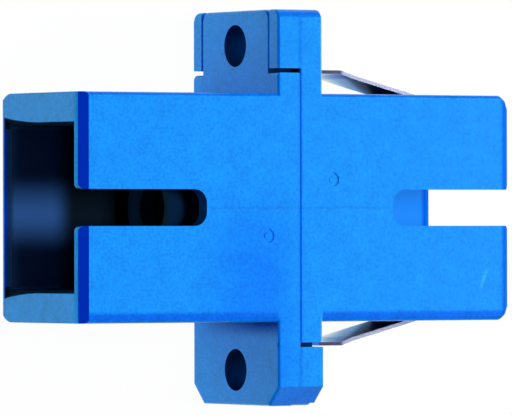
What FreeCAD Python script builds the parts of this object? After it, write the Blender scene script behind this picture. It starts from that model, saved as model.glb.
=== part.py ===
import FreeCAD, Part
import math
import os

from FreeCAD import Vector

# SC/SC simplex fibre adapter with a two-eared flange and a spring-steel panel clip.
#
# Frame, in millimetres: X runs along the plugs, from the front mouth (-X) to the rear mouth (+X), Y runs
# across the two ears, and +Z points out of the keyway face. The origin is the middle of the alignment
# sleeve, on the parting plane of the two housing halves. The adapter lies on its plain back face.

# Receptacle and housing walls
CAVITY_WIDTH = 9.15
CAVITY_HEIGHT = 7.6
CAVITY_CORNER_RADIUS = 0.3
SIDE_WALL = 1.825
FACE_WALL = 0.85
HALF_LENGTH = 14.15
KEYWAY_EDGE_RADIUS = 0.25
BACK_EDGE_RADIUS = 1.4
END_BEVEL = 0.44
REAR_END_CHAMFER = 0.8

# Mouth lead-in: a small flare at the sides, which widens towards the back face
LEAD_DEPTH = 0.35
LEAD_SIDE = 0.19
LEAD_BACK = 0.26
LEAD_CORNER = 0.53
LEAD_FLARE_HEIGHT = 3.3
LEAD_BOW_DROP = 0.62
LEAD_BOW_SPREAD = 0.4
LEAD_RUN_OUT = 0.02

# Keyway
KEYWAY_WIDTH = 2.05
KEYWAY_LENGTH = 8.02
KEYWAY_END_RADIUS = 0.78
KEYWAY_MOUTH_RADIUS = 0.3

# Mark of the moulding gate in the keyway face, a shallow ring round a low stub
GATE_SETBACK = 2.14
GATE_OFFSET = 1.58
GATE_RADIUS = 0.4
GATE_DEPTH = 0.06
GATE_STUB_RADIUS = 0.2
GATE_STUB_DROP = 0.03

# Flange ears
EAR_THICKNESS = 1.46
EAR_REACH = 4.725
SHOULDER_REACH = 1.16
SLIT_GAP = 0.25
LIP_HEIGHT = 0.95
LIP_GAP = 0.08
CHAMFERED_CORNER = 1.1
ROUNDED_CORNER = 0.6
EAR_EDGE_RADIUS = 0.15
SHOULDER_BACK_RADIUS = 0.3
PARTING_BEVEL = 0.06
SCREW_HOLE_DIAMETER = 2.35
SCREW_HOLE_SETBACK = 1.975

# Split alignment sleeve
SLEEVE_BORE = 2.5
SLEEVE_WALL = 0.35
SLEEVE_LENGTH = 11.4
SLEEVE_SLIT = 0.5

# Latch inserts
PLATE_THICKNESS = 1.2
PLATE_OVERLAP = 0.85
INSERT_CLEARANCE = 0.05
SLEEVE_CLEARANCE = 0.05
SLEEVE_END_PLAY = 0.15
TUBE_WALL = 0.5
TUBE_LIP_LENGTH = 1.35
TUBE_LIP_STEP = 0.15
TUBE_LEAD_IN = 0.35
COLLAR_LENGTH = 0.9
COLLAR_STEP = 0.1
ARM_THICKNESS = 0.9
ARM_WIDTH = 3.2
ARM_LENGTH = 6.7
ARM_FLEX_ROOM = 0.55
HOOK_DEPTH = 0.45
HOOK_LENGTH = 1.5
HOOK_LAND = 0.25
HOOK_CATCH_LEAN = 0.15
ARM_ROOT_RADIUS = 0.35

# Panel clip, folded from sheet
SHEET = 0.2
CLIP_SINK = 0.03
STRAP_WIDTH = 2.2
STRAP_CLEARANCE = 0.05
LEG_ABOVE_WING = 0.25
WING_WIDTH = 3.5
PANEL_GAP = 1.54
TAB_LENGTH = 1.5
KNEE_LENGTH = 0.73
RAMP_LENGTH = 4.6
TAB_STANDOFF = 1.3
KNEE_STANDOFF = 1.05
WING_RELIEF_MARGIN = 0.3
BEND_RADIUS = 0.4

# Sizes that follow from those above
BODY_WIDTH = CAVITY_WIDTH + 2 * SIDE_WALL
BODY_HEIGHT = CAVITY_HEIGHT + 2 * FACE_WALL
FLANGE_WIDTH = BODY_WIDTH + 2 * EAR_REACH
SHOULDER_Y = BODY_WIDTH / 2 + SHOULDER_REACH
SCREW_HOLE_Y = FLANGE_WIDTH / 2 - SCREW_HOLE_SETBACK
NARROW_EAR_HEIGHT = BODY_HEIGHT - 2 * (LIP_HEIGHT + LIP_GAP)
SLEEVE_RADIUS = SLEEVE_BORE / 2 + SLEEVE_WALL
TUBE_BORE_RADIUS = SLEEVE_RADIUS + SLEEVE_CLEARANCE
TUBE_RADIUS = TUBE_BORE_RADIUS + TUBE_WALL
SLEEVE_SEAT_DEPTH = SLEEVE_LENGTH / 2 + SLEEVE_END_PLAY
TUBE_LENGTH = SLEEVE_SEAT_DEPTH + TUBE_LIP_LENGTH
RECESS_DEPTH = SHEET + CLIP_SINK
STRAP_START = EAR_THICKNESS + PANEL_GAP + TAB_LENGTH + KNEE_LENGTH + RAMP_LENGTH
STRAP_END = STRAP_START + STRAP_WIDTH
LEG_TOP = WING_WIDTH / 2 + LEG_ABOVE_WING

# Working allowances: how far a cutting shape stands past a face, and the least radius of an inset corner
BEYOND = 1.0
STAND_OFF = 0.1
LEAST_RADIUS = 0.01


def block(x, y, z):
    """Box between two values on each axis."""
    corner = Vector(min(x), min(y), min(z))
    return Part.makeBox(max(x) - min(x), max(y) - min(y), max(z) - min(z), corner)


def prism(points, direction):
    """Solid made by pushing a closed outline along a vector."""
    outline = Part.makePolygon(points + points[:1])
    return Part.Face(outline).extrude(direction)


def turned_round(shape):
    """Copy of a front piece, turned half round the Z axis to face the rear mouth."""
    copy = shape.copy()
    copy.rotate(Vector(0, 0, 0), Vector(0, 0, 1), 180)
    return copy


def rounded_section(width, bottom, top, bottom_radius, top_radius, x):
    """Face across the X axis: a rectangle with one corner radius below and another above."""
    half = width / 2
    corners = [
        (half, bottom, bottom_radius, -90),
        (half, top, top_radius, 0),
        (-half, top, top_radius, 90),
        (-half, bottom, bottom_radius, 180),
    ]
    edges = []
    starts = []
    ends = []
    for y, z, radius, angle in corners:
        centre_y = y - math.copysign(radius, y)
        centre_z = z - radius if z == top else z + radius
        middle = Vector(x, centre_y, centre_z)
        ring = [
            middle + Vector(0, math.cos(turn), math.sin(turn)) * radius
            for turn in (math.radians(angle + step) for step in (0, 45, 90))
        ]
        edges.append(Part.Arc(*ring).toShape())
        starts.append(ring[0])
        ends.append(ring[2])
    for index, end in enumerate(ends):
        edges.append(Part.LineSegment(end, starts[(index + 1) % 4]).toShape())
    return Part.Face(Part.Wire(Part.sortEdges(edges)[0]))


def body_section(inset, x):
    """Outline of the housing, offset inwards, as a face across the X axis."""
    return rounded_section(
        BODY_WIDTH - 2 * inset,
        -BODY_HEIGHT / 2 + inset,
        BODY_HEIGHT / 2 - inset,
        BACK_EDGE_RADIUS - inset,
        max(KEYWAY_EDGE_RADIUS - inset, LEAST_RADIUS),
        x,
    )


def beveled_body():
    """Solid outside of one half, with a bevel along both faces at its mouth end."""
    solid = body_section(0, -HALF_LENGTH).extrude(Vector(HALF_LENGTH, 0, 0))
    half_y = BODY_WIDTH / 2
    half_z = BODY_HEIGHT / 2
    side_view = [
        Vector(-HALF_LENGTH, -half_y, half_z - END_BEVEL),
        Vector(-HALF_LENGTH + END_BEVEL, -half_y, half_z),
        Vector(0, -half_y, half_z),
        Vector(0, -half_y, -half_z),
        Vector(-HALF_LENGTH + END_BEVEL, -half_y, -half_z),
        Vector(-HALF_LENGTH, -half_y, -half_z + END_BEVEL),
    ]
    return solid.common(prism(side_view, Vector(0, BODY_WIDTH, 0)))


def mouth_lead_in():
    """Flared cut at the mouth: straight at the keyway side and wider towards the back face."""
    side = CAVITY_WIDTH / 2
    front = CAVITY_HEIGHT / 2
    back = -CAVITY_HEIGHT / 2
    flare_start = back + LEAD_FLARE_HEIGHT

    def outline(x, grow_side, grow_corner, grow_back):
        """Wire across X with the same edges at every depth, so that the loft is regular."""
        low = back - grow_back
        points = [
            Vector(x, side + grow_side, front),
            Vector(x, side + grow_side, flare_start),
            Vector(x, side + grow_corner, low),
        ]
        mirrored = [Vector(p.x, -p.y, p.z) for p in reversed(points)]
        bow_y = side + grow_side + (grow_corner - grow_side) * LEAD_BOW_SPREAD
        bow = Vector(x, bow_y, flare_start - LEAD_BOW_DROP * LEAD_FLARE_HEIGHT)
        edges = [
            Part.LineSegment(points[0], points[1]).toShape(),
            Part.Arc(points[1], bow, points[2]).toShape(),
            Part.LineSegment(points[2], mirrored[0]).toShape(),
            Part.Arc(mirrored[0], Vector(x, -bow.y, bow.z), mirrored[1]).toShape(),
            Part.LineSegment(mirrored[1], mirrored[2]).toShape(),
            Part.LineSegment(mirrored[2], points[0]).toShape(),
        ]
        return Part.Wire(edges)

    mouth = outline(-HALF_LENGTH, LEAD_SIDE, LEAD_CORNER, LEAD_BACK)
    depth = outline(-HALF_LENGTH + LEAD_DEPTH, 0.0, LEAD_RUN_OUT, 0.0)
    return Part.makeLoft([mouth, depth], True, True)


def keyway():
    """Slot in the keyway face, open at the mouth and round-cornered at both of its ends."""
    half = KEYWAY_WIDTH / 2
    end = -HALF_LENGTH + KEYWAY_LENGTH
    slot = block((-HALF_LENGTH - BEYOND, end), (-half, half), (0, BODY_HEIGHT))
    corners = [e for e in slot.Edges if is_along(e, Vector(0, 0, 1)) and near(e.CenterOfMass.x, end)]
    return slot.makeFillet(KEYWAY_END_RADIUS, corners).fuse([mouth_flare(side) for side in (-1, 1)])


def mouth_flare(side):
    """Cut that rounds one corner of the keyway where it opens into the mouth."""
    edge = side * KEYWAY_WIDTH / 2
    reach = edge + side * KEYWAY_MOUTH_RADIUS
    inner = -HALF_LENGTH + KEYWAY_MOUTH_RADIUS
    corner = block((-HALF_LENGTH - BEYOND, inner), (edge, reach), (0, BODY_HEIGHT))
    outside = block((-HALF_LENGTH - 2 * BEYOND, -HALF_LENGTH), (edge, reach), (0, BODY_HEIGHT))
    rounding = Part.makeCylinder(KEYWAY_MOUTH_RADIUS, BODY_HEIGHT, Vector(inner, reach, 0))
    return corner.cut([outside, rounding])


def gate_mark():
    """Ring that is cut round the stub of the moulding gate."""
    top = BODY_HEIGHT / 2
    place = Vector(-GATE_SETBACK, -GATE_OFFSET, top - GATE_DEPTH)
    recess = Part.makeCylinder(GATE_RADIUS, GATE_DEPTH + BEYOND, place)
    stub = Part.makeCylinder(GATE_STUB_RADIUS, GATE_DEPTH - GATE_STUB_DROP, place)
    return recess.cut(stub)


def near(value, target):
    """True where two lengths agree."""
    return abs(value - target) < 1e-4


def near_point(point, target):
    """True where two points agree."""
    return point.distanceToPoint(target) < 1e-4


def is_along(edge, direction):
    """True for a straight edge that runs along a direction."""
    if not isinstance(edge.Curve, Part.Line):
        return False
    return abs(edge.tangentAt(edge.FirstParameter).dot(direction)) > 0.999


def ear_profile(corner, y_start, y_tip, height, rounded):
    """Face across X of an ear that reaches along -Y, with its two outer corners cut or rounded."""
    blank = block((0, BEYOND), (-y_start, -y_tip), (-height / 2, height / 2))
    corners = [e for e in blank.Edges if is_along(e, Vector(1, 0, 0)) and near(e.CenterOfMass.y, -y_tip)]
    shaped = blank.makeFillet(corner, corners) if rounded else blank.makeChamfer(corner, corners)
    section = [f for f in shaped.Faces if near(f.CenterOfMass.x, 0)]
    return section[0]


def soft_edged(ear, x_values):
    """Ear with a small radius round the outline of each face that lies at one of these values of X."""
    outlines = [e for e in ear.Edges if any(lies_at(e, x) for x in x_values)]
    return ear.makeFillet(EAR_EDGE_RADIUS, outlines)


def lies_at(edge, x):
    """True for an edge that stays at one value of X."""
    return near(edge.BoundBox.XMin, x) and near(edge.BoundBox.XMax, x)


def wide_ear(corner, rounded):
    """Full-height ear on -Y, whose two lips reach over the edges of the other half's narrow ear.

    The ear with chamfered corners keeps a sharp edge at the tips of its lips.
    """
    section = ear_profile(corner, BODY_WIDTH / 2 - SIDE_WALL / 2, FLANGE_WIDTH / 2, BODY_HEIGHT, rounded)
    section.translate(Vector(-EAR_THICKNESS, 0, 0))
    soft_faces = (-EAR_THICKNESS, EAR_THICKNESS) if rounded else (-EAR_THICKNESS,)
    ear = soft_edged(section.extrude(Vector(2 * EAR_THICKNESS, 0, 0)), soft_faces)
    lip_start = SHOULDER_Y + SLIT_GAP
    pocket_half = BODY_HEIGHT / 2 - LIP_HEIGHT
    reach = (0, EAR_THICKNESS + BEYOND)
    pocket = block(reach, (0, -FLANGE_WIDTH), (-pocket_half, pocket_half))
    below_slit = block(reach, (0, -lip_start), (-BODY_HEIGHT, BODY_HEIGHT))
    return ear.cut([pocket, below_slit])


def shoulder():
    """Full-height foot of the narrow ear, round-cornered at the back of the adapter."""
    inner = BODY_WIDTH / 2 - SIDE_WALL / 2
    half_z = BODY_HEIGHT / 2
    foot = block((-EAR_THICKNESS, 0), (inner, SHOULDER_Y), (-half_z, half_z))
    along_x = [e for e in foot.Edges if is_along(e, Vector(1, 0, 0))]
    corner = Vector(-EAR_THICKNESS / 2, SHOULDER_Y, -half_z)
    foot = foot.makeFillet(SHOULDER_BACK_RADIUS, [e for e in along_x if near_point(e.CenterOfMass, corner)])
    front = [e for e in foot.Edges if lies_at(e, -EAR_THICKNESS) and is_along(e, Vector(0, 1, 0))]
    return foot.makeFillet(EAR_EDGE_RADIUS, front)


def narrow_ear():
    """Ear on +Y: its foot, then a plate that fits between the other half's lips."""
    inner = BODY_WIDTH / 2 - SIDE_WALL / 2
    section = ear_profile(ROUNDED_CORNER, inner, FLANGE_WIDTH / 2, NARROW_EAR_HEIGHT, True)
    plate = section.extrude(Vector(EAR_THICKNESS, 0, 0))
    plate.rotate(Vector(0, 0, 0), Vector(0, 0, 1), 180)
    return shoulder().fuse(soft_edged(plate, (-EAR_THICKNESS,)))


def parting_bevels():
    """Cuts along the parting plane, where both halves show a fine groove between the slits of the ears."""
    start = Vector(0, -SHOULDER_Y - SLIT_GAP, 0)
    length = Vector(0, 2 * SHOULDER_Y + SLIT_GAP, 0)
    top = BODY_HEIGHT / 2
    corner = [
        Vector(-PARTING_BEVEL - BEYOND, 0, top + BEYOND),
        Vector(BEYOND, 0, top - PARTING_BEVEL - BEYOND),
        Vector(BEYOND, 0, top + BEYOND),
    ]
    upper = prism([p + start for p in corner], length)
    return [upper, upper.mirror(Vector(0, 0, 0), Vector(0, 0, 1))]


def screw_holes():
    """Two holes through both ears, along X."""
    holes = []
    for side in (-1, 1):
        start = Vector(-EAR_THICKNESS - BEYOND, side * SCREW_HOLE_Y, 0)
        length = 2 * (EAR_THICKNESS + BEYOND)
        holes.append(Part.makeCylinder(SCREW_HOLE_DIAMETER / 2, length, start, Vector(1, 0, 0)))
    return Part.makeCompound(holes)


def insert_pocket():
    """Pocket at the parting plane that traps the insert's plate in the side walls."""
    half_y = CAVITY_WIDTH / 2 + PLATE_OVERLAP
    return block((-PLATE_THICKNESS, BEYOND), (-half_y, half_y), (-CAVITY_HEIGHT / 2, CAVITY_HEIGHT / 2))


def housing_half(corner, rounded):
    """One moulded half with its mouth at -X, its wide ear on -Y and its narrow ear on +Y."""
    outside = beveled_body().fuse([wide_ear(corner, rounded), narrow_ear()])
    cavity = rounded_section(
        CAVITY_WIDTH,
        -CAVITY_HEIGHT / 2,
        CAVITY_HEIGHT / 2,
        CAVITY_CORNER_RADIUS,
        CAVITY_CORNER_RADIUS,
        -HALF_LENGTH - BEYOND,
    ).extrude(Vector(HALF_LENGTH + BEYOND, 0, 0))
    half = outside.cut([cavity, mouth_lead_in(), insert_pocket(), keyway(), screw_holes(), gate_mark()])
    return half.cut(parting_bevels()).removeSplitter()


def front_housing():
    """Front half: the corners of its wide ear are chamfered."""
    return housing_half(CHAMFERED_CORNER, False)


def rear_housing():
    """Rear half: rounded ear corners, chamfered mouth corners, and recesses that hold the panel clip."""
    half = turned_round(housing_half(ROUNDED_CORNER, True))
    return half.cut([clip_recess(), end_corner(-1), end_corner(1)]).removeSplitter()


def end_corner(side):
    """Corner that the chamfer takes off one side of the rear mouth."""
    edge = side * BODY_WIDTH / 2
    outline = [
        Vector(HALF_LENGTH - REAR_END_CHAMFER - BEYOND, edge + side * BEYOND, -BODY_HEIGHT),
        Vector(HALF_LENGTH + BEYOND, edge - side * (REAR_END_CHAMFER + BEYOND), -BODY_HEIGHT),
        Vector(HALF_LENGTH + BEYOND, edge + side * BEYOND, -BODY_HEIGHT),
    ]
    return prism(outline, Vector(0, 0, 2 * BODY_HEIGHT))


def strap_band(outer_inset, inner_inset, start, end, top):
    """U-shaped band round the back and sides of the body, between two depths below its surface."""
    length = Vector(end - start, 0, 0)
    band = body_section(outer_inset, start).extrude(length)
    band = band.cut(body_section(inner_inset, start - BEYOND).extrude(length + Vector(2 * BEYOND, 0, 0)))
    return band.common(block((start, end), (-BODY_WIDTH, BODY_WIDTH), (-BODY_HEIGHT, top)))


def wing_slope():
    """Rise of the wing's ramp for each millimetre along X."""
    return (KNEE_STANDOFF + CLIP_SINK + SHEET / 2) / RAMP_LENGTH


def clip_recess():
    """Material removed from the rear half for the strap, its legs and the roots of the wings."""
    start = STRAP_START - STRAP_CLEARANCE
    end = STRAP_END + STRAP_CLEARANCE
    top = LEG_TOP + STRAP_CLEARANCE
    band = strap_band(-STAND_OFF, RECESS_DEPTH, start, end, top)
    relief_start = STRAP_START - RECESS_DEPTH / wing_slope() - WING_RELIEF_MARGIN
    half_z = WING_WIDTH / 2 + STRAP_CLEARANCE
    floor = BODY_WIDTH / 2 - RECESS_DEPTH
    outside = BODY_WIDTH / 2 + BEYOND
    reliefs = [
        block((relief_start, start + BEYOND), (side * floor, side * outside), (-half_z, half_z))
        for side in (-1, 1)
    ]
    return band.fuse(reliefs)


def offset_path(path, distance):
    """Points beside a bent line, at a distance to its left, with mitred corners."""
    shifted = []
    for index, point in enumerate(path):
        directions = []
        if index > 0:
            directions.append((point - path[index - 1]).normalize())
        if index < len(path) - 1:
            directions.append((path[index + 1] - point).normalize())
        normals = [Vector(-d.y, d.x, 0) for d in directions]
        bisector = normals[0] if len(normals) == 1 else (normals[0] + normals[1]).normalize()
        shifted.append(point + bisector * (distance / bisector.dot(normals[0])))
    return shifted


def wing():
    """One wing on +Y: strap edge, ramp, knee and the flat tab that faces the back of the flange."""
    leg_y = BODY_WIDTH / 2 - CLIP_SINK - SHEET / 2
    knee_x = STRAP_START - RAMP_LENGTH
    tab_x = knee_x - KNEE_LENGTH
    tab_y = BODY_WIDTH / 2 + TAB_STANDOFF
    path = [
        Vector(STRAP_START + STRAP_WIDTH / 2, leg_y, 0),
        Vector(STRAP_START, leg_y, 0),
        Vector(knee_x, BODY_WIDTH / 2 + KNEE_STANDOFF, 0),
        Vector(tab_x, tab_y, 0),
        Vector(tab_x - TAB_LENGTH, tab_y, 0),
    ]
    low = Vector(0, 0, -WING_WIDTH / 2)
    outline = offset_path(path, SHEET / 2) + list(reversed(offset_path(path, -SHEET / 2)))
    blank = prism([p + low for p in outline], Vector(0, 0, WING_WIDTH))
    bends = [e for e in blank.Edges if is_along(e, Vector(0, 0, 1)) and is_bend(e.CenterOfMass, path)]
    return blank.makeFillet(BEND_RADIUS, bends)


def is_bend(point, path):
    """True for an edge that lies at one of the inner corners of the folded path."""
    flat = Vector(point.x, point.y, 0)
    return any(flat.distanceToPoint(corner) < SHEET for corner in path[1:-1])


def panel_clip():
    """Spring clip folded from one strip: a strap across the back, two legs and two wings."""
    band = strap_band(CLIP_SINK, RECESS_DEPTH, STRAP_START, STRAP_END, LEG_TOP)
    upper = wing()
    lower = upper.mirror(Vector(0, 0, 0), Vector(0, 1, 0))
    return band.fuse([upper, lower]).removeSplitter()


def latch_arm():
    """Flexible arm on +Y with an inward hook: a ramp towards the mouth and a steep catch behind it."""
    outer = CAVITY_WIDTH / 2 - ARM_FLEX_ROOM
    inner = outer - ARM_THICKNESS
    tip = -PLATE_THICKNESS - ARM_LENGTH
    hook = inner - HOOK_DEPTH
    catch = tip + HOOK_LENGTH
    outline = [
        Vector(-PLATE_THICKNESS / 2, outer, 0),
        Vector(tip, outer, 0),
        Vector(tip, inner, 0),
        Vector(catch - HOOK_LAND, hook, 0),
        Vector(catch, hook, 0),
        Vector(catch + HOOK_CATCH_LEAN, inner, 0),
        Vector(-PLATE_THICKNESS / 2, inner, 0),
    ]
    low = Vector(0, 0, -ARM_WIDTH / 2)
    return prism([p + low for p in outline], Vector(0, 0, ARM_WIDTH))


def arm_root():
    """Thicker foot of the arm on +Y, a concave corner between its inner face and the plate."""
    arm_face = CAVITY_WIDTH / 2 - ARM_FLEX_ROOM - ARM_THICKNESS
    foot_end = -PLATE_THICKNESS - ARM_ROOT_RADIUS
    foot_side = arm_face - ARM_ROOT_RADIUS
    half_z = ARM_WIDTH / 2
    foot = block((-PLATE_THICKNESS, foot_end), (arm_face, foot_side), (-half_z, half_z))
    centre = Vector(foot_end, foot_side, -ARM_WIDTH)
    return foot.cut(Part.makeCylinder(ARM_ROOT_RADIUS, 2 * ARM_WIDTH, centre))


def sleeve_tube():
    """Tube on -X that holds half of the sleeve, with a collar, an inner lip and a flared entry."""
    lip_radius = SLEEVE_RADIUS - TUBE_LIP_STEP
    outline = [
        Vector(0, 0, TUBE_BORE_RADIUS),
        Vector(-SLEEVE_SEAT_DEPTH, 0, TUBE_BORE_RADIUS),
        Vector(-SLEEVE_SEAT_DEPTH, 0, lip_radius),
        Vector(-TUBE_LENGTH + TUBE_LEAD_IN, 0, lip_radius),
        Vector(-TUBE_LENGTH, 0, lip_radius + TUBE_LEAD_IN),
        Vector(-TUBE_LENGTH, 0, TUBE_RADIUS + COLLAR_STEP),
        Vector(-TUBE_LENGTH + COLLAR_LENGTH, 0, TUBE_RADIUS + COLLAR_STEP),
        Vector(-TUBE_LENGTH + COLLAR_LENGTH, 0, TUBE_RADIUS),
        Vector(0, 0, TUBE_RADIUS),
    ]
    face = Part.Face(Part.makePolygon(outline + outline[:1]))
    return face.revolve(Vector(0, 0, 0), Vector(1, 0, 0), 360)


def latch_insert():
    """Insert for the front half: clamped plate, sleeve tube and two latch arms."""
    half_y = CAVITY_WIDTH / 2 + PLATE_OVERLAP - INSERT_CLEARANCE
    half_z = CAVITY_HEIGHT / 2 - INSERT_CLEARANCE
    plate = block((-PLATE_THICKNESS, 0), (-half_y, half_y), (-half_z, half_z))
    upper = [latch_arm(), arm_root()]
    lower = [arm.mirror(Vector(0, 0, 0), Vector(0, 1, 0)) for arm in upper]
    depth = 2 * BEYOND + PLATE_THICKNESS
    bore = Part.makeCylinder(TUBE_BORE_RADIUS, depth, Vector(BEYOND, 0, 0), Vector(-1, 0, 0))
    body = plate.fuse(upper + lower).cut(bore)
    return body.fuse(sleeve_tube()).removeSplitter()


def split_sleeve():
    """Ceramic sleeve, split along its length on the side that faces the keyways."""
    start = Vector(-SLEEVE_LENGTH / 2, 0, 0)
    along = Vector(1, 0, 0)
    outside = Part.makeCylinder(SLEEVE_RADIUS, SLEEVE_LENGTH, start, along)
    bore = Part.makeCylinder(SLEEVE_BORE / 2, SLEEVE_LENGTH, start, along)
    half_slit = SLEEVE_SLIT / 2
    reach = SLEEVE_LENGTH / 2 + BEYOND
    slit = block((-reach, reach), (-half_slit, half_slit), (0, SLEEVE_RADIUS + BEYOND))
    return outside.cut([bore, slit])


def main():
    """Build every piece and write one STEP file for each."""
    pieces = {
        "front_housing": front_housing(),
        "rear_housing": rear_housing(),
        "front_latch_insert": latch_insert(),
        "rear_latch_insert": turned_round(latch_insert()),
        "split_sleeve": split_sleeve(),
        "panel_clip": panel_clip(),
    }
    os.makedirs("parts", exist_ok=True)
    for name, shape in pieces.items():
        solids = shape.Solids
        print(f"{name}: {len(solids)} solid, valid {shape.isValid()}, volume {shape.Volume:.2f} mm3")
        solids[0].exportStep(os.path.join("parts", name + ".step"))


main()
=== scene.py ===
"""Looks of a simplex SC fibre adapter: two blue moulded halves, latch inserts, a sleeve and a panel clip.

Lengths are in millimetres unless a name says otherwise, and the model itself is in metres. X runs along the
plugs from the front mouth (-X) to the rear mouth (+X). Y runs across the two ears, from the lower one (-Y) to
the upper one (+Y), and +Z points out of the keyway face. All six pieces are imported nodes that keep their
shapes, and the classes below only dress them.
"""

import logging
import math
from dataclasses import dataclass
from enum import Enum
from typing import Protocol

import bpy
from mathutils import Matrix, Vector


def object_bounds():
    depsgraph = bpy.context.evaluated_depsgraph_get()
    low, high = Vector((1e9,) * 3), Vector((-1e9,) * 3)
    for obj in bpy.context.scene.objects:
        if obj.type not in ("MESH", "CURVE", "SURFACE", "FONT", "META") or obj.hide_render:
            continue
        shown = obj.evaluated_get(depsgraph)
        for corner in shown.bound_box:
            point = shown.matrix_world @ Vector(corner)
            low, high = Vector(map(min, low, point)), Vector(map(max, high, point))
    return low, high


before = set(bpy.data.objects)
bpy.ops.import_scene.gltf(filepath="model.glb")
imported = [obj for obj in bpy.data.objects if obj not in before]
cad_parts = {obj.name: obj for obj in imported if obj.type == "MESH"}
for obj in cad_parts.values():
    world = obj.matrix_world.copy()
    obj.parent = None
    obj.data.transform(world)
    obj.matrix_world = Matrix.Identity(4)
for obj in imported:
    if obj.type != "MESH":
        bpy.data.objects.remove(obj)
CAD_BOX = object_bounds()

MM = 0.001
log = logging.getLogger("adapter")

# A share runs from 0 to 1 over the surface. A fade holds the place on an axis where a share is none and the
# place where it is whole. A tone is a share with the sRGB colour that it lays on.
Rgba = tuple[float, float, float, float]
Paint = bpy.types.NodeSocket | Rgba
Share = bpy.types.NodeSocket
Fade = tuple[float, float]
Tone = tuple[Share, str]

WHITE: Rgba = (1.0, 1.0, 1.0, 1.0)

# Most of a noise pattern lies between the first two values, and a wave pattern turns through the third, in
# radians, over a length of 1
NOISE_SPAN = (0.3, 0.7)
WAVE_TURN = 20.0

# The Z part of the way that a wall faces: above this it faces up, and below this it stands upright
UP_LIMIT = 0.5

# Two parts of the way that a surface faces, multiplied, which gives 0.5 at 45 degrees, or -0.5 towards the
# front mouth: where a bevel or a rounded edge starts to count, and where it counts in full
BEVEL_LEAN: Fade = (-0.1, -0.4)
EDGE_TURN: Fade = (0.15, 0.4)

# Ends of the moulded halves: the bevels and the rear rim, which get painted shade, and the strip of each end
# face by the keyway face
REAR_END = CAD_BOX[1][0] / MM
FRONT_END = -REAR_END
END_BEVEL_START = REAR_END - 1.15
END_FACE_START = REAR_END - 0.05
END_FACE_FADE: Fade = (3.5, 4.2)
REAR_RIM_FADE: Fade = (REAR_END - 0.8, REAR_END - 0.4)

# Receptacles, where light and shade are painted: the lead-in at the front mouth and its shaded sides, the lit
# floor behind it, the shaded middle and floors, and the lit rear floor
RECEPTACLE_HALF_WIDTH = 5.3
RECEPTACLE_HALF_HEIGHT = 4.05
FRONT_MOUTH_FADE: Fade = (FRONT_END, FRONT_END + 0.25)
FRONT_HALF_FADE: Fade = (0.0, -1.0)
LEAD_IN_SIDE_START = 4.4
LEAD_IN_SIDE_FADE: Fade = (FRONT_END + 0.001, FRONT_END + 0.07)
LEAD_IN_FLOOR_FADE: Fade = (FRONT_END + 0.2, FRONT_END + 0.55)
LIT_FLOOR_FADE: Fade = (FRONT_END + 4.35, FRONT_END + 2.85)
MIDDLE_SHADE_FADE: Fade = (REAR_END - 3.15, REAR_END - 3.75)
REAR_FLOOR_FADE: Fade = (REAR_END - 3.75, REAR_END - 3.15)

# Keyways, whose round inner end walls get painted shade, and the weld lines that run from them to the parting
# plane
KEYWAY_HALF_WIDTH = 1.04
KEYWAY_END = 6.5
KEYWAY_END_REACH = 0.4
KEYWAY_WALL_FADE: Fade = (3.6, 3.75)
WELD_LENGTH = 6.0

# Ears: their faces, and the slits beside their lips and the screw holes, whose walls get painted shade
EAR_FACE = 1.46
EAR_FACE_BAND = 0.02
SLIT_Y = 7.685
SLIT_HALF_WIDTH = 0.14
SLIT_HALF_LENGTH = 1.44
SLIT_HALF_HEIGHT = 4.6
SCREW_HOLE_Y = 9.15
SCREW_HOLE_RADIUS = 1.185

# Painted shadow of the body on the strip of the lower ear's faces that lies against it, deepest at the keyway
# face
CONTACT_START_FADE: Fade = (-6.2, -6.3)
CONTACT_REACH_FADE: Fade = (-7.5, -6.4)
CONTACT_DEPTH_FADE: Fade = (-6.0, 3.0)

# Keyway face: painted shade in a patch in front of the ears, and painted shade in a band along its lower edge
PATCH_SHADE_FRONT_FADE: Fade = (-8.0, -3.0)
PATCH_SHADE_REAR_FADE: Fade = (0.8, -2.2)
PATCH_SHADE_LOWER_FADE: Fade = (2.5, -3.5)
LOWER_BAND_FADE: Fade = (-5.7, -6.0)


class Axis(Enum):
    """Axes of the model."""

    X = "X"
    Y = "Y"
    Z = "Z"


def linear(code: str) -> Rgba:
    """Turn an sRGB hex colour into linear light.

    Args:
        code: six hex digits, with or without a leading #.

    Returns:
        Red, green, blue and an alpha of one.
    """
    digits = code.lstrip("#")
    channels = [int(digits[i : i + 2], 16) / 255 for i in (0, 2, 4)]
    values = [c / 12.92 if c <= 0.04045 else ((c + 0.055) / 1.055) ** 2.4 for c in channels]
    return (*values, 1.0)


def add_node(
    tree: bpy.types.NodeTree,
    kind: str,
    inputs: dict[str | int, object] | None = None,
    **settings: object,
) -> bpy.types.Node:
    """Add one shader node with its settings, values and links.

    Args:
        tree: the tree that takes the node.
        kind: Blender's name for the node, without ShaderNode.
        inputs: a value or an output socket for each input, by its name or number.
        **settings: the node's own properties.

    Returns:
        The new node.
    """
    node = tree.nodes.new("ShaderNode" + kind)
    for name, value in settings.items():
        setattr(node, name, value)
    for key, value in (inputs or {}).items():
        if isinstance(value, bpy.types.NodeSocket):
            tree.links.new(value, node.inputs[key])
        else:
            node.inputs[key].default_value = value
    return node


def new_material(name: str) -> bpy.types.Material:
    """Start an empty node material.

    Args:
        name: the material's name.

    Returns:
        The material, with no nodes in it.
    """
    material = bpy.data.materials.new(name)
    material.use_nodes = True
    material.node_tree.nodes.clear()
    return material


def finish_surface(tree: bpy.types.NodeTree, shader: bpy.types.Node) -> None:
    """Lead a shader to the material's output.

    Args:
        tree: the material's tree.
        shader: the node whose first output is the surface.
    """
    add_node(tree, "OutputMaterial", {"Surface": shader.outputs[0]})


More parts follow.
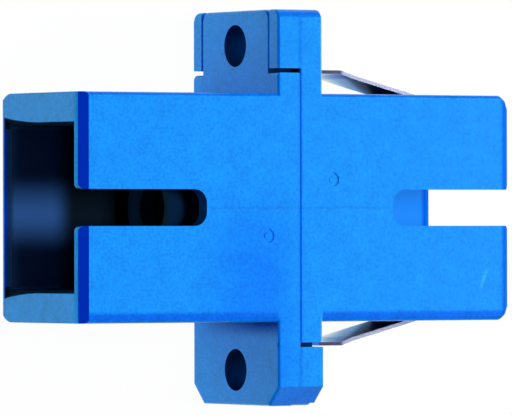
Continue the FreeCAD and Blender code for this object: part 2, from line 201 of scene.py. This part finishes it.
def lay_tones(tree: bpy.types.NodeTree, base: Paint, tones: tuple[Tone, ...]) -> Paint:
    """Lay tones over a colour, one after another.

    Args:
        tree: the material's tree.
        base: the linear colour underneath, as a value or a socket.
        tones: the tones, the lowest first.

    Returns:
        The colour with all the tones on it.
    """
    colour = base
    for share, code in tones:
        layers = {"Factor": share, 6: colour, 7: linear(code)}
        colour = add_node(tree, "Mix", layers, data_type="RGBA").outputs[2]
    return colour


@dataclass(frozen=True)
class Streak:
    """A short streak on the keyway face, which runs along Y and leans towards +X."""

    x: float
    y: float
    lean: float
    half_width: float
    half_length: float


SCUFF = Streak(x=12.25, y=-4.05, lean=0.4, half_width=0.17, half_length=0.75)


class Spot:
    """The point that a material shades, with tests that each give a share."""

    def __init__(self, tree: bpy.types.NodeTree) -> None:
        """Read the point's place in millimetres and the way that the surface faces there.

        Args:
            tree: the material's tree.
        """
        self.tree = tree
        source = add_node(tree, "TexCoord").outputs
        self.place = self._add("VectorMath", {0: source["Object"], 1: (1 / MM,) * 3}, operation="MULTIPLY")
        self.parts = add_node(tree, "SeparateXYZ", {0: self.place}).outputs
        self.facing = add_node(tree, "SeparateXYZ", {0: source["Normal"]}).outputs

    def distance(self, axis: Axis) -> bpy.types.NodeSocket:
        """Measure how far the point is from the middle plane across an axis."""
        return self._add("Math", {0: self.parts[axis.value]}, operation="ABSOLUTE")

    def within(self, axis: Axis, middle: float, half: float) -> Share:
        """Find a band round a distance from the middle plane, on both sides of the adapter."""
        return self._add("Math", {0: self.distance(axis), 1: middle, 2: half}, operation="COMPARE")

    def beyond(self, axis: Axis, start: float) -> Share:
        """Find what lies further from the middle plane than a start, on both sides of the adapter."""
        return self._add("Math", {0: self.distance(axis), 1: start}, operation="GREATER_THAN")

    def rise(self, axis: Axis, fade: Fade) -> Share:
        """Rise smoothly along an axis, from none to whole over a fade."""
        return self._ease(self.parts[axis.value], fade)

    def bevel(self) -> Share:
        """Find bevels between the keyway side and the front mouth, and those that face the opposite way."""
        lean = self._add("Math", {0: self.facing["X"], 1: self.facing["Z"]}, operation="MULTIPLY")
        return self._ease(lean, BEVEL_LEAN)

    def rounded_edge(self) -> Share:
        """Find the rounded long edges, where the surface turns from the keyway face to a side."""
        turned = self._add("Math", {0: self.facing["Y"], 1: self.facing["Z"]}, operation="MULTIPLY")
        return self._ease(self._add("Math", {0: turned}, operation="ABSOLUTE"), EDGE_TURN)

    def upright(self) -> Share:
        """Find walls that stand square to the keyway face."""
        tilt = self._add("Math", {0: self.facing["Z"]}, operation="ABSOLUTE")
        return self._add("Math", {0: tilt, 1: UP_LIMIT}, operation="LESS_THAN")

    def facing_up(self) -> Share:
        """Find walls that face the same way as the keyway face."""
        return self._add("Math", {0: self.facing["Z"], 1: UP_LIMIT}, operation="GREATER_THAN")

    def inward(self) -> Share:
        """Find walls that face the middle plane between the ears."""
        outward = self._add("Math", {0: self.parts["Y"], 1: self.facing["Y"]}, operation="MULTIPLY")
        return self._add("Math", {0: outward, 1: 0.0}, operation="LESS_THAN")

    def near_axis(self, y: float, radius: float) -> Share:
        """Find what lies close to a line along X, on both sides of the adapter.

        Args:
            y: the line's distance from the middle plane.
            radius: the largest distance from the line.

        Returns:
            A share that is whole within that radius.
        """
        across = self._add("Math", {0: self.distance(Axis.Y), 1: y}, operation="SUBTRACT")
        squared = self._add("Math", {0: across, 1: across}, operation="MULTIPLY")
        depth = self.parts["Z"]
        total = self._add("Math", {0: depth, 1: depth, 2: squared}, operation="MULTIPLY_ADD")
        return self._add("Math", {0: total, 1: radius**2}, operation="LESS_THAN")

    def on_streak(self, streak: Streak) -> Share:
        """Find a streak.

        Args:
            streak: its place and size.

        Returns:
            A share that falls from one on the streak's middle line to none at its edges and ends.
        """
        along = self._add("Math", {0: self.parts["Y"], 1: streak.y}, operation="SUBTRACT")
        middle = self._add("Math", {0: along, 1: streak.lean, 2: streak.x}, operation="MULTIPLY_ADD")
        across = self._add("Math", {0: self.parts["X"], 1: middle}, operation="SUBTRACT")
        shares = []
        for offset, reach in ((across, streak.half_width), (along, streak.half_length)):
            size = self._add("Math", {0: offset}, operation="ABSOLUTE")
            fall = {"Value": size, "From Max": reach, "To Min": 1.0, "To Max": 0.0}
            shares.append(self._add("MapRange", fall))
        return self.all_of(*shares, self.facing_up())

    def all_of(self, *shares: Share) -> Share:
        """Give one only where every share is one."""
        return self._join("MULTIPLY", shares)

    def any_of(self, *shares: Share) -> Share:
        """Give the largest share."""
        return self._join("MAXIMUM", shares)

    def _add(self, kind: str, inputs: dict[str | int, object], **settings: object) -> bpy.types.NodeSocket:
        """Add one node to the material's tree and give its first output."""
        return add_node(self.tree, kind, inputs, **settings).outputs[0]

    def _ease(self, value: bpy.types.NodeSocket, fade: Fade) -> Share:
        """Rise smoothly as a value passes from the fade's first limit to its second."""
        limits = {"Value": value, "From Min": fade[0], "From Max": fade[1]}
        return self._add("MapRange", limits, interpolation_type="SMOOTHSTEP")

    def _join(self, operation: str, shares: tuple[Share, ...]) -> Share:
        """Join shares two at a time.

        Args:
            operation: Blender's name for the sum.
            shares: at least one share.

        Returns:
            One share.
        """
        joined = shares[0]
        for share in shares[1:]:
            joined = self._add("Math", {0: joined, 1: share}, operation=operation)
        return joined


@dataclass(frozen=True)
class Mottle:
    """Noise that makes a face darker and paler in turns.

    The size is that of its largest spots, and the sharpness says how much its finer detail counts.
    """

    size: float
    detail: float
    sharpness: float
    darkest: float
    palest: float

    def level(self, spot: Spot) -> bpy.types.NodeSocket:
        """Build the mottle.

        Args:
            spot: the point that is shaded.

        Returns:
            What the face's colour is multiplied by.
        """
        pattern = {
            "Vector": spot.place,
            "Scale": 1 / self.size,
            "Detail": self.detail,
            "Roughness": self.sharpness,
        }
        tones = {
            "Value": add_node(spot.tree, "TexNoise", pattern).outputs["Fac"],
            "From Min": NOISE_SPAN[0],
            "From Max": NOISE_SPAN[1],
            "To Min": self.darkest,
            "To Max": self.palest,
        }
        return add_node(spot.tree, "MapRange", tones).outputs[0]


class Finish(Protocol):
    """What each finish below can do."""

    def material(self) -> bpy.types.Material:
        """Build the finish's material."""


@dataclass(frozen=True)
class MouldedPbt:
    """Blue PBT, injection moulded in a spark-eroded tool.

    The eroded grain gives the flats a satin sheen, and flow clouds and specks make their blue uneven. Painted
    shade deepens the bevels, the rear rim and the front edges of the ears, which have no sheen, and a little
    painted shade deepens the rounded edges and the parting line. The walls of the cuts and the depth of the
    receptacles are painted dark as shade, painted light brightens parts of both receptacle floors, and
    painted shade darkens a patch in front of the ears, a band along the lower edge and the lower ear by the
    body. A faint weld line runs from each keyway to the parting plane, and a pale scuff marks the rear half.
    Eroded grain is finer than a render can show, so it is drawn coarser.
    """

    face_colour: str = "#168DF5"
    # Painted shade in a patch of the keyway face in front of the ears, towards the lower ear
    patch_shade_colour: str = "#0D7BF4"
    # Painted shade in a band along the lower edge of the keyway face
    low_band_shade_colour: str = "#0565E2"
    scuff_colour: str = "#36B2F8"
    # Painted shadow of the body on the lower ear
    contact_shadow_colour: str = "#0038A0"
    # Painted shade on the bevels of the ears' front edges and of the parting line
    ear_edge_shade_colour: str = "#0477F7"
    # Painted shade on the rounded long edges and along the parting line
    edge_colour: str = "#0A70E4"
    # Painted shade on the end bevels
    bevel_shade_colour: str = "#023AE4"
    # Painted shade on all that lies within about half a millimetre of the rear end
    rear_rim_shade_colour: str = "#045CD4"
    # Painted light on the rear receptacle's floor by its mouth
    rear_floor_light_colour: str = "#1283EA"
    # Painted light in a patch on the front receptacle's floor behind the lead-in
    lit_floor_colour: str = "#3868B1"
    # Painted shade on the receptacle floors in the depth
    floor_shade_colour: str = "#12202F"
    # Painted shade on the receptacle walls in the depth
    middle_shade_colour: str = "#1E4066"
    # Painted shade on the sides of the lead-in and the walls behind them
    lead_in_side_shade_colour: str = "#0A1C38"
    # Painted shade on the walls of the slits and the screw holes
    cut_shade_colour: str = "#00285C"
    # Painted shade on the round walls at the inner ends of the keyways
    keyway_end_shade_colour: str = "#003A78"
    clouds: Mottle = Mottle(size=1.2, detail=5.0, sharpness=0.7, darkest=0.9, palest=1.1)
    specks: Mottle = Mottle(size=0.18, detail=1.0, sharpness=0.5, darkest=0.88, palest=1.12)
    grain_size: float = 0.12
    grain_detail: float = 2.0
    grain_depth: float = 0.02
    grain_strength: float = 0.1
    weld_half_width: float = 0.08
    weld_tone: float = 0.88
    seam_half_width: float = 0.2
    seam_share: float = 0.7
    gloss: float = 0.1
    roughness: float = 0.2
    ior: float = 1.5

    def material(self) -> bpy.types.Material:
        """Build the material.

        Returns:
            The satin blue material for both halves.
        """
        material = new_material("blue_pbt_spark_eroded")
        tree = material.node_tree
        spot = Spot(tree)
        # Shares that get painted shade or painted light in the tones below
        ear_edge_shade = spot.all_of(spot.bevel(), spot.within(Axis.X, 0.0, EAR_FACE))
        front_bevel = spot.all_of(spot.bevel(), spot.beyond(Axis.X, END_BEVEL_START))
        middle_shade = self._middle_shade_share(spot)
        # Painted shade on the floors in the depth, and painted light on the front floor behind the lead-in
        floor = spot.all_of(middle_shade, spot.facing_up(), spot.rise(Axis.X, LEAD_IN_FLOOR_FADE))
        lit_floor = spot.all_of(floor, spot.rise(Axis.X, LIT_FLOOR_FADE))
        rear_rim_shade = spot.rise(Axis.X, REAR_RIM_FADE)
        keyway_ends = self._keyway_end_share(spot)
        cuts = self._cut_share(spot)
        contact = self._contact_share(spot)
        # Painted shade and painted light laid over the blue, the lowest first
        tones = (
            (ear_edge_shade, self.ear_edge_shade_colour),
            (front_bevel, self.bevel_shade_colour),
            (middle_shade, self.middle_shade_colour),
            (self._lead_in_side_shade_share(spot), self.lead_in_side_shade_colour),
            (floor, self.floor_shade_colour),
            (lit_floor, self.lit_floor_colour),
            (self._rear_floor_light_share(spot), self.rear_floor_light_colour),
            (rear_rim_shade, self.rear_rim_shade_colour),
            (keyway_ends, self.keyway_end_shade_colour),
            (cuts, self.cut_shade_colour),
        )
        pattern = {"Vector": spot.place, "Scale": 1 / self.grain_size, "Detail": self.grain_detail}
        relief = {
            "Height": add_node(tree, "TexNoise", pattern).outputs["Fac"],
            "Strength": self.grain_strength,
            "Distance": self.grain_depth * MM,
        }
        end_strips = spot.all_of(
            spot.rise(Axis.Z, END_FACE_FADE), spot.beyond(Axis.X, END_FACE_START), spot.upright()
        )
        # No sheen where shade is painted, and none on the end strips
        smooth = spot.any_of(
            front_bevel, rear_rim_shade, middle_shade, keyway_ends, cuts, ear_edge_shade, end_strips, contact
        )
        # The gloss differs over the surface, so it has to be linked, and the export leaves it out
        gloss = add_node(tree, "MapRange", {"Value": smooth, "To Min": self.gloss, "To Max": 0.0})
        shader = add_node(
            tree,
            "BsdfPrincipled",
            {
                "Base Color": lay_tones(tree, self._faces(spot, contact), tones),
                "Roughness": self.roughness,
                "IOR": self.ior,
                "Specular IOR Level": gloss.outputs[0],
                "Normal": add_node(tree, "Bump", relief).outputs[0],
            },
        )
        finish_surface(tree, shader)
        return material

    def _faces(self, spot: Spot, contact: Share) -> bpy.types.NodeSocket:
        """Tint the flats with clouds, specks, the scuff and the weld lines, and lay painted shade on the long
        edges, along the seam, in a patch in front of the ears, in a band along the lower edge and on the
        lower ear by the body.

        Args:
            spot: the point that is shaded.
            contact: the share of the strip where the lower ear meets the body, which gets painted shadow.

        Returns:
            The colour.
        """
        tree = spot.tree
        # Painted shade in a patch of the keyway face in front of the ears
        patch_shade = spot.all_of(
            spot.rise(Axis.X, PATCH_SHADE_FRONT_FADE),
            spot.rise(Axis.X, PATCH_SHADE_REAR_FADE),
            spot.rise(Axis.Y, PATCH_SHADE_LOWER_FADE),
            spot.facing_up(),
        )
        # Painted shade in a band along the lower edge of the keyway face
        low = spot.all_of(
            spot.rise(Axis.Y, LOWER_BAND_FADE), spot.beyond(Axis.X, EAR_FACE), spot.facing_up()
        )
        near_seam = {
            "Value": spot.distance(Axis.X),
            "From Max": self.seam_half_width,
            "To Min": self.seam_share,
            "To Max": 0.0,
        }
        tones = (
            (patch_shade, self.patch_shade_colour),
            (low, self.low_band_shade_colour),
            (spot.on_streak(SCUFF), self.scuff_colour),
            # Painted shade on the rounded long edges and along the parting line
            (spot.rounded_edge(), self.edge_colour),
            (add_node(tree, "MapRange", near_seam).outputs[0], self.edge_colour),
            (contact, self.contact_shadow_colour),
        )
        weld = spot.all_of(
            spot.within(Axis.Y, 0.0, self.weld_half_width), spot.within(Axis.X, 0.0, WELD_LENGTH)
        )
        weld_level = add_node(tree, "MapRange", {"Value": weld, "To Min": 1.0, "To Max": self.weld_tone})
        flow = {0: self.clouds.level(spot), 1: self.specks.level(spot)}
        flow_level = add_node(tree, "Math", flow, operation="MULTIPLY")
        levels = {0: flow_level.outputs[0], 1: weld_level.outputs[0]}
        shade = {
            0: lay_tones(tree, linear(self.face_colour), tones),
            "Scale": add_node(tree, "Math", levels, operation="MULTIPLY").outputs[0],
        }
        return add_node(tree, "VectorMath", shade, operation="SCALE").outputs[0]

    def _contact_share(self, spot: Spot) -> Share:
        """Find the strip of the lower ear's faces that lies against the body, which gets the body's painted
        shadow.

        Args:
            spot: the point that is shaded.

        Returns:
            A share that falls off away from the body and towards the back.
        """
        return spot.all_of(
            spot.rise(Axis.Y, CONTACT_START_FADE),
            spot.rise(Axis.Y, CONTACT_REACH_FADE),
            spot.rise(Axis.Z, CONTACT_DEPTH_FADE),
            spot.within(Axis.X, EAR_FACE, EAR_FACE_BAND),
            spot.upright(),
        )

    def _receptacle_share(self, spot: Spot) -> Share:
        """Find the walls of both receptacles.

        Args:
            spot: the point that is shaded.

        Returns:
            A share that is whole on all that lies in the receptacles' section.
        """
        return spot.all_of(
            spot.within(Axis.Y, 0.0, RECEPTACLE_HALF_WIDTH), spot.within(Axis.Z, 0.0, RECEPTACLE_HALF_HEIGHT)
        )

    def _middle_shade_share(self, spot: Spot) -> Share:
        """Find the receptacle walls that lie in the depth of the moulding, which get painted shade.

        Args:
            spot: the point that is shaded.

        Returns:
            A share that is whole from just inside the front mouth to where painted light stands for daylight
            coming in at the rear.
        """
        return spot.all_of(
            self._receptacle_share(spot),
            spot.rise(Axis.X, FRONT_MOUTH_FADE),
            spot.rise(Axis.X, MIDDLE_SHADE_FADE),
        )

    def _lead_in_side_shade_share(self, spot: Spot) -> Share:
        """Find the flared sides of the lead-in and the side walls behind them, in the front half, which get
        painted shade.

        Args:
            spot: the point that is shaded.

        Returns:
            A share that is whole on those sides.
        """
        return spot.all_of(
            self._receptacle_share(spot),
            spot.beyond(Axis.Y, LEAD_IN_SIDE_START),
            spot.rise(Axis.X, LEAD_IN_SIDE_FADE),
            spot.rise(Axis.X, FRONT_HALF_FADE),
        )

    def _rear_floor_light_share(self, spot: Spot) -> Share:
        """Find the floor of the rear receptacle where painted light stands for daylight coming through its
        mouth.

        Args:
            spot: the point that is shaded.

        Returns:
            A share that is whole on that floor.
        """
        return spot.all_of(
            self._receptacle_share(spot), spot.rise(Axis.X, REAR_FLOOR_FADE), spot.facing_up()
        )

    def _keyway_end_share(self, spot: Spot) -> Share:
        """Find the round walls at the inner ends of the keyways, which get painted shade.

        Args:
            spot: the point that is shaded.

        Returns:
            A share that is whole on those walls.
        """
        return spot.all_of(
            spot.within(Axis.Y, 0.0, KEYWAY_HALF_WIDTH),
            spot.within(Axis.X, KEYWAY_END, KEYWAY_END_REACH),
            spot.rise(Axis.Z, KEYWAY_WALL_FADE),
            spot.upright(),
        )

    def _cut_share(self, spot: Spot) -> Share:
        """Find the walls of the narrow cuts: the slits of the ears and the screw holes, which get painted
        shade.

        Args:
            spot: the point that is shaded.

        Returns:
            A share that is whole on those walls.
        """
        slits = spot.all_of(
            spot.within(Axis.Y, SLIT_Y, SLIT_HALF_WIDTH),
            spot.within(Axis.X, 0.0, SLIT_HALF_LENGTH),
            spot.within(Axis.Z, 0.0, SLIT_HALF_HEIGHT),
        )
        return spot.any_of(slits, spot.near_axis(SCREW_HOLE_Y, SCREW_HOLE_RADIUS))


@dataclass(frozen=True)
class DarkInsertPlastic:
    """PBT, injection moulded with a fine matt texture.

    Its near-black stands in for the shade inside the receptacles, and it hardly reflects. Walls that face
    along the plugs get a little painted shade on top. The texture is finer than a render can show, so its
    grain is drawn coarser.
    """

    # Near-black that stands in for the shade inside the receptacles
    colour: str = "#0D2C50"
    # Painted shade on walls that face along the plugs
    end_shade_tone: float = 0.9
    grain_size: float = 0.1
    grain_detail: float = 2.0
    grain_depth: float = 0.02
    grain_strength: float = 0.2
    grain_tones: tuple[float, float] = (0.85, 1.15)
    gloss: float = 0.08
    roughness: float = 0.6
    ior: float = 1.5

    def material(self) -> bpy.types.Material:
        """Build the material.

        Returns:
            The matt near-black material for both inserts.
        """
        material = new_material("dark_pbt_matt")
        tree = material.node_tree
        spot = Spot(tree)
        pattern = {"Vector": spot.place, "Scale": 1 / self.grain_size, "Detail": self.grain_detail}
        grain = add_node(tree, "TexNoise", pattern).outputs["Fac"]
        relief = {"Height": grain, "Strength": self.grain_strength, "Distance": self.grain_depth * MM}
        darkest, palest = self.grain_tones
        mottle = add_node(tree, "MapRange", {"Value": grain, "To Min": darkest, "To Max": palest})
        # Painted shade on walls that face along the plugs
        along = add_node(tree, "Math", {0: spot.facing["X"]}, operation="ABSOLUTE").outputs[0]
        shaded_ends = add_node(tree, "MapRange", {"Value": along, "To Min": 1.0, "To Max": self.end_shade_tone})
        level = add_node(tree, "Math", {0: mottle.outputs[0], 1: shaded_ends.outputs[0]}, operation="MULTIPLY")
        shade = {0: linear(self.colour)[:3], "Scale": level.outputs[0]}
        shader = add_node(
            tree,
            "BsdfPrincipled",
            {
                "Base Color": add_node(tree, "VectorMath", shade, operation="SCALE").outputs[0],
                "Roughness": self.roughness,
                "IOR": self.ior,
                "Specular IOR Level": self.gloss,
                "Normal": add_node(tree, "Bump", relief).outputs[0],
            },
        )
        finish_surface(tree, shader)
        return material


@dataclass(frozen=True)
class GroundZirconia:
    """Zirconia ceramic, centreless ground.

    It is ivory white, dense and smooth, with faint rings round the axis. Painted shade makes its ends, and
    the sleeve near them, near-black and dull. Real grinding marks are too fine to show, so the rings are
    drawn far apart.
    """

    colour: str = "#F1EEE4"
    # Painted shade on the sleeve's ends and the sleeve near them
    end_shade_colour: str = "#202022"
    shaded_end_start: float = 4.8
    ring_pitch: float = 0.754
    ring_waver: float = 1.5
    ring_depth: float = 0.01
    ring_strength: float = 0.05
    ring_roughness: tuple[float, float] = (0.18, 0.28)
    gloss: float = 0.5
    shaded_end_gloss: float = 0.02
    ior: float = 2.1

    def material(self) -> bpy.types.Material:
        """Build the material.

        Returns:
            The ivory ceramic material for the sleeve.
        """
        material = new_material("zirconia_ground")
        tree = material.node_tree
        spot = Spot(tree)
        pattern = {
            "Vector": spot.place,
            "Scale": math.tau / (WAVE_TURN * self.ring_pitch),
            "Distortion": self.ring_waver,
        }
        rings = add_node(tree, "TexWave", pattern, bands_direction="X").outputs["Fac"]
        relief = {"Height": rings, "Strength": self.ring_strength, "Distance": self.ring_depth * MM}
        smoothest, roughest = self.ring_roughness
        rough = add_node(tree, "MapRange", {"Value": rings, "To Min": smoothest, "To Max": roughest})
        # Painted shade, with no gloss, on the sleeve beyond this distance from the middle
        shaded_ends = spot.beyond(Axis.X, self.shaded_end_start)
        # The gloss differs over the surface, so it has to be linked, and the export leaves it out
        gloss = add_node(tree, "MapRange", {"Value": shaded_ends, "To Min": self.gloss, "To Max": self.shaded_end_gloss})
        shader = add_node(
            tree,
            "BsdfPrincipled",
            {
                "Base Color": lay_tones(tree, linear(self.colour), ((shaded_ends, self.end_shade_colour),)),
                "Roughness": rough.outputs[0],
                "IOR": self.ior,
                "Specular IOR Level": gloss.outputs[0],
                "Normal": add_node(tree, "Bump", relief).outputs[0],
            },
        )
        finish_surface(tree, shader)
        return material


@dataclass(frozen=True)
class RolledSpringSteel:
    """Stainless spring steel, bright rolled strip.

    It is a mirror softened by fine rolling lines along the wings, which are drawn coarser than real ones. The
    sheared edges on the keyway side are greyer and show no lines, and painted shade makes them darkest on the
    tabs. A painted pale, warm reflection tints the wings' inner faces, and a painted dark reflection of the
    body darkens them at their roots.
    """

    face_colour: str = "#CFD2E2"
    # Painted pale, warm reflection of the floor on the wings' inner faces
    inner_reflection_colour: str = "#FFEBDE"
    # Painted dark reflection of the body on the inner faces by the roots
    root_reflection_colour: str = "#141C38"
    edge_colour: str = "#A8AECC"
    # Painted shade on the sheared edges of the tabs
    tab_edge_shade_colour: str = "#50506C"
    tab_fade: Fade = (4.7, 4.4)
    root_fade: Fade = (6.1, 6.8)
    root_lean: float = 1.0
    line_width: float = 0.05
    line_length: float = 3.0
    line_detail: float = 2.0
    line_depth: float = 0.01
    line_strength: float = 0.05
    face_roughness: float = 0.28
    edge_roughness: float = 0.25

    def material(self) -> bpy.types.Material:
        """Build the material.

        Returns:
            The bright metal material for the clip.
        """
        material = new_material("spring_steel_rolled")
        tree = material.node_tree
        spot = Spot(tree)
        edges = spot.facing_up()
        shaded_tab_edges = spot.all_of(edges, spot.rise(Axis.X, self.tab_fade))
        inner = spot.inward()
        # Painted reflections on the wings' inner faces and painted shade on the tab edges
        tones = (
            (inner, self.inner_reflection_colour),
            (spot.all_of(self._near_root(spot), inner), self.root_reflection_colour),
            (edges, self.edge_colour),
            (shaded_tab_edges, self.tab_edge_shade_colour),
        )
        stretch = {0: spot.place, 1: (1 / self.line_length, 1 / self.line_width, 1 / self.line_width)}
        stretched = add_node(tree, "VectorMath", stretch, operation="MULTIPLY").outputs[0]
        lines = add_node(tree, "TexNoise", {"Vector": stretched, "Scale": 1.0, "Detail": self.line_detail})
        strength = add_node(tree, "MapRange", {"Value": edges, "To Min": self.line_strength, "To Max": 0.0})
        relief = {
            "Height": lines.outputs["Fac"],
            "Strength": strength.outputs[0],
            "Distance": self.line_depth * MM,
        }
        polish = {"Value": edges, "To Min": self.face_roughness, "To Max": self.edge_roughness}
        shader = add_node(
            tree,
            "BsdfPrincipled",
            {
                "Base Color": lay_tones(tree, linear(self.face_colour), tones),
                "Metallic": 1.0,
                "Roughness": add_node(tree, "MapRange", polish).outputs[0],
                "Normal": add_node(tree, "Bump", relief).outputs[0],
            },
        )
        finish_surface(tree, shader)
        return material

    def _near_root(self, spot: Spot) -> Share:
        """Find the part of the wings by their roots, along a line that leans with Z.

        Args:
            spot: the point that is shaded.

        Returns:
            A share that rises evenly towards the roots.
        """
        lean = {0: spot.parts["Z"], 1: self.root_lean, 2: spot.parts["X"]}
        along = add_node(spot.tree, "Math", lean, operation="MULTIPLY_ADD").outputs[0]
        fade = {"Value": along, "From Min": self.root_fade[0], "From Max": self.root_fade[1]}
        return add_node(spot.tree, "MapRange", fade).outputs[0]


@dataclass
class PackedPieces:
    """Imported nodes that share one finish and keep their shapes."""

    nodes: tuple[str, ...]
    finish: Finish

    def pieces(self) -> list[bpy.types.Object]:
        """Give the nodes' objects."""
        return [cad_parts[node] for node in self.nodes]

    def dress(self) -> None:
        """Give every node the finish, in all its material slots."""
        material = self.finish.material()
        for piece in self.pieces():
            for slot in piece.material_slots:
                slot.material = material


@dataclass
class HousingHalves(PackedPieces):
    """The two blue moulded halves."""

    nodes: tuple[str, ...] = ("front_housing", "rear_housing")
    finish: Finish = MouldedPbt()


@dataclass
class LatchInserts(PackedPieces):
    """The two dark inserts with the latch arms and sleeve tubes."""

    nodes: tuple[str, ...] = ("front_latch_insert", "rear_latch_insert")
    finish: Finish = DarkInsertPlastic()


@dataclass
class AlignmentSleeve(PackedPieces):
    """The split ceramic sleeve in the middle."""

    nodes: tuple[str, ...] = ("split_sleeve",)
    finish: Finish = GroundZirconia()


@dataclass
class PanelClip(PackedPieces):
    """The folded spring clip with its two wings."""

    nodes: tuple[str, ...] = ("panel_clip",)
    finish: Finish = RolledSpringSteel()


@dataclass(frozen=True)
class Lamp:
    """One square soft lamp that points at the object."""

    name: str
    place: tuple[float, float, float]
    side: float
    watts: float
    in_reflections: bool = True

    def hang(self) -> None:
        """Add the lamp to the scene."""
        data = bpy.data.lights.new(self.name, "AREA")
        data.size = self.side * MM
        data.energy = self.watts
        lamp = bpy.data.objects.new(self.name, data)
        place = Vector(self.place) * MM
        lamp.matrix_world = Matrix.Translation(place) @ place.to_track_quat("Z", "Y").to_matrix().to_4x4()
        lamp.visible_glossy = self.in_reflections
        bpy.context.scene.collection.objects.link(lamp)


@dataclass(frozen=True)
class Camera:
    """Long lens that looks down at the keyway face from the side of the front mouth."""

    turn_deg: float = 31.445
    rise_deg: float = -0.220
    roll_deg: float = 0.089
    distance: float = 393.5
    lens: float = 488.74
    sensor: float = 36.0
    aim_right: float = -0.0807
    aim_up: float = 0.0258
    nearest: float = 10.0
    farthest: float = 10000.0

    def place(self) -> None:
        """Add the camera to the scene and look through it."""
        turn, rise, roll = (math.radians(a) for a in (self.turn_deg, self.rise_deg, self.roll_deg))
        back = Vector((-math.sin(turn) * math.cos(rise), math.sin(rise), math.cos(turn) * math.cos(rise)))
        level = Vector((math.cos(turn), 0, math.sin(turn)))
        upright = back.cross(level)
        right = level * math.cos(roll) - upright * math.sin(roll)
        up = level * math.sin(roll) + upright * math.cos(roll)
        aim = (right * self.aim_right + up * self.aim_up) * MM
        data = bpy.data.cameras.new("camera")
        data.sensor_width = self.sensor
        data.lens = self.lens
        data.clip_start = self.nearest * MM
        data.clip_end = self.farthest * MM
        camera = bpy.data.objects.new("camera", data)
        turned = Matrix((right, up, back)).transposed().to_4x4()
        camera.matrix_world = Matrix.Translation(aim + back * self.distance * MM) @ turned
        bpy.context.scene.collection.objects.link(camera)
        bpy.context.scene.camera = camera


@dataclass(frozen=True)
class Studio:
    """White floor and surroundings, soft lamps and the camera."""

    lamps: tuple[Lamp, ...] = (
        Lamp("key_lamp", (369.0, 58.0, 252.0), 260.0, 2.25),
        Lamp("top_lamp", (10.0, 20.0, 490.0), 120.0, 1.25, in_reflections=False),
    )
    camera: Camera = Camera()
    floor_size: float = 6000.0
    paper_colour: Rgba = (0.9, 0.9, 0.9, 1.0)
    glow_colour: Rgba = (0.9, 1.05, 0.82, 1.0)
    glow_strength: float = 1.5
    glow_share: float = 0.8
    white_share: float = 0.97
    fill: float = 0.05

    def build(self) -> None:
        """Set up everything round the object."""
        self._world()
        self._floor()
        for lamp in self.lamps:
            lamp.hang()
        self.camera.place()
        bpy.context.scene.view_settings.view_transform = "Standard"

    def _world(self) -> None:
        """Surround the scene with faint light that shows as white, directly and through glass."""
        world = bpy.data.worlds.new("studio")
        world.use_nodes = True
        tree = world.node_tree
        tree.nodes.clear()
        path = add_node(tree, "LightPath").outputs
        soft = add_node(tree, "Background", {"Color": WHITE, "Strength": self.fill}).outputs[0]
        white = add_node(tree, "Background", {"Color": WHITE, "Strength": 1.0}).outputs[0]
        ways = {0: path["Is Camera Ray"], 1: path["Is Transmission Ray"]}
        seen = add_node(tree, "Math", ways, operation="MAXIMUM").outputs[0]
        mix = add_node(tree, "MixShader", {0: seen, 1: soft, 2: white})
        add_node(tree, "OutputWorld", {"Surface": mix.outputs[0]})
        bpy.context.scene.world = world

    def _floor(self) -> None:
        """Lay a floor that shows as white with the object's shadow, and lights the object from below."""
        bpy.ops.object.select_all(action="DESELECT")
        bpy.ops.mesh.primitive_plane_add(size=self.floor_size * MM, location=(0, 0, CAD_BOX[0][2]))
        floor = bpy.context.active_object
        floor.name = "studio_floor"
        material = new_material("studio_floor_paper")
        tree = material.node_tree
        paper = add_node(tree, "BsdfDiffuse", {"Color": self.paper_colour}).outputs[0]
        white = add_node(tree, "Emission", {"Color": WHITE, "Strength": 1.0}).outputs[0]
        glow_light = {"Color": self.glow_colour, "Strength": self.glow_strength}
        glow = add_node(tree, "Emission", glow_light).outputs[0]
        seen = add_node(tree, "MixShader", {0: self.white_share, 1: paper, 2: white}).outputs[0]
        around = add_node(tree, "MixShader", {0: self.glow_share, 1: paper, 2: glow}).outputs[0]
        to_camera = add_node(tree, "LightPath").outputs["Is Camera Ray"]
        finish_surface(tree, add_node(tree, "MixShader", {0: to_camera, 1: around, 2: seen}))
        floor.data.materials.append(material)


def main() -> None:
    """Dress every sub-assembly and report its pieces, then build the studio."""
    logging.basicConfig(level=logging.INFO, format="%(name)s %(message)s")
    for assembly in (HousingHalves(), LatchInserts(), AlignmentSleeve(), PanelClip()):
        assembly.dress()
        for piece in assembly.pieces():
            log.info("%s: %d faces, %s", piece.name, len(piece.data.polygons), piece.active_material.name)
    Studio().build()


if __name__ == "__main__":
    main()
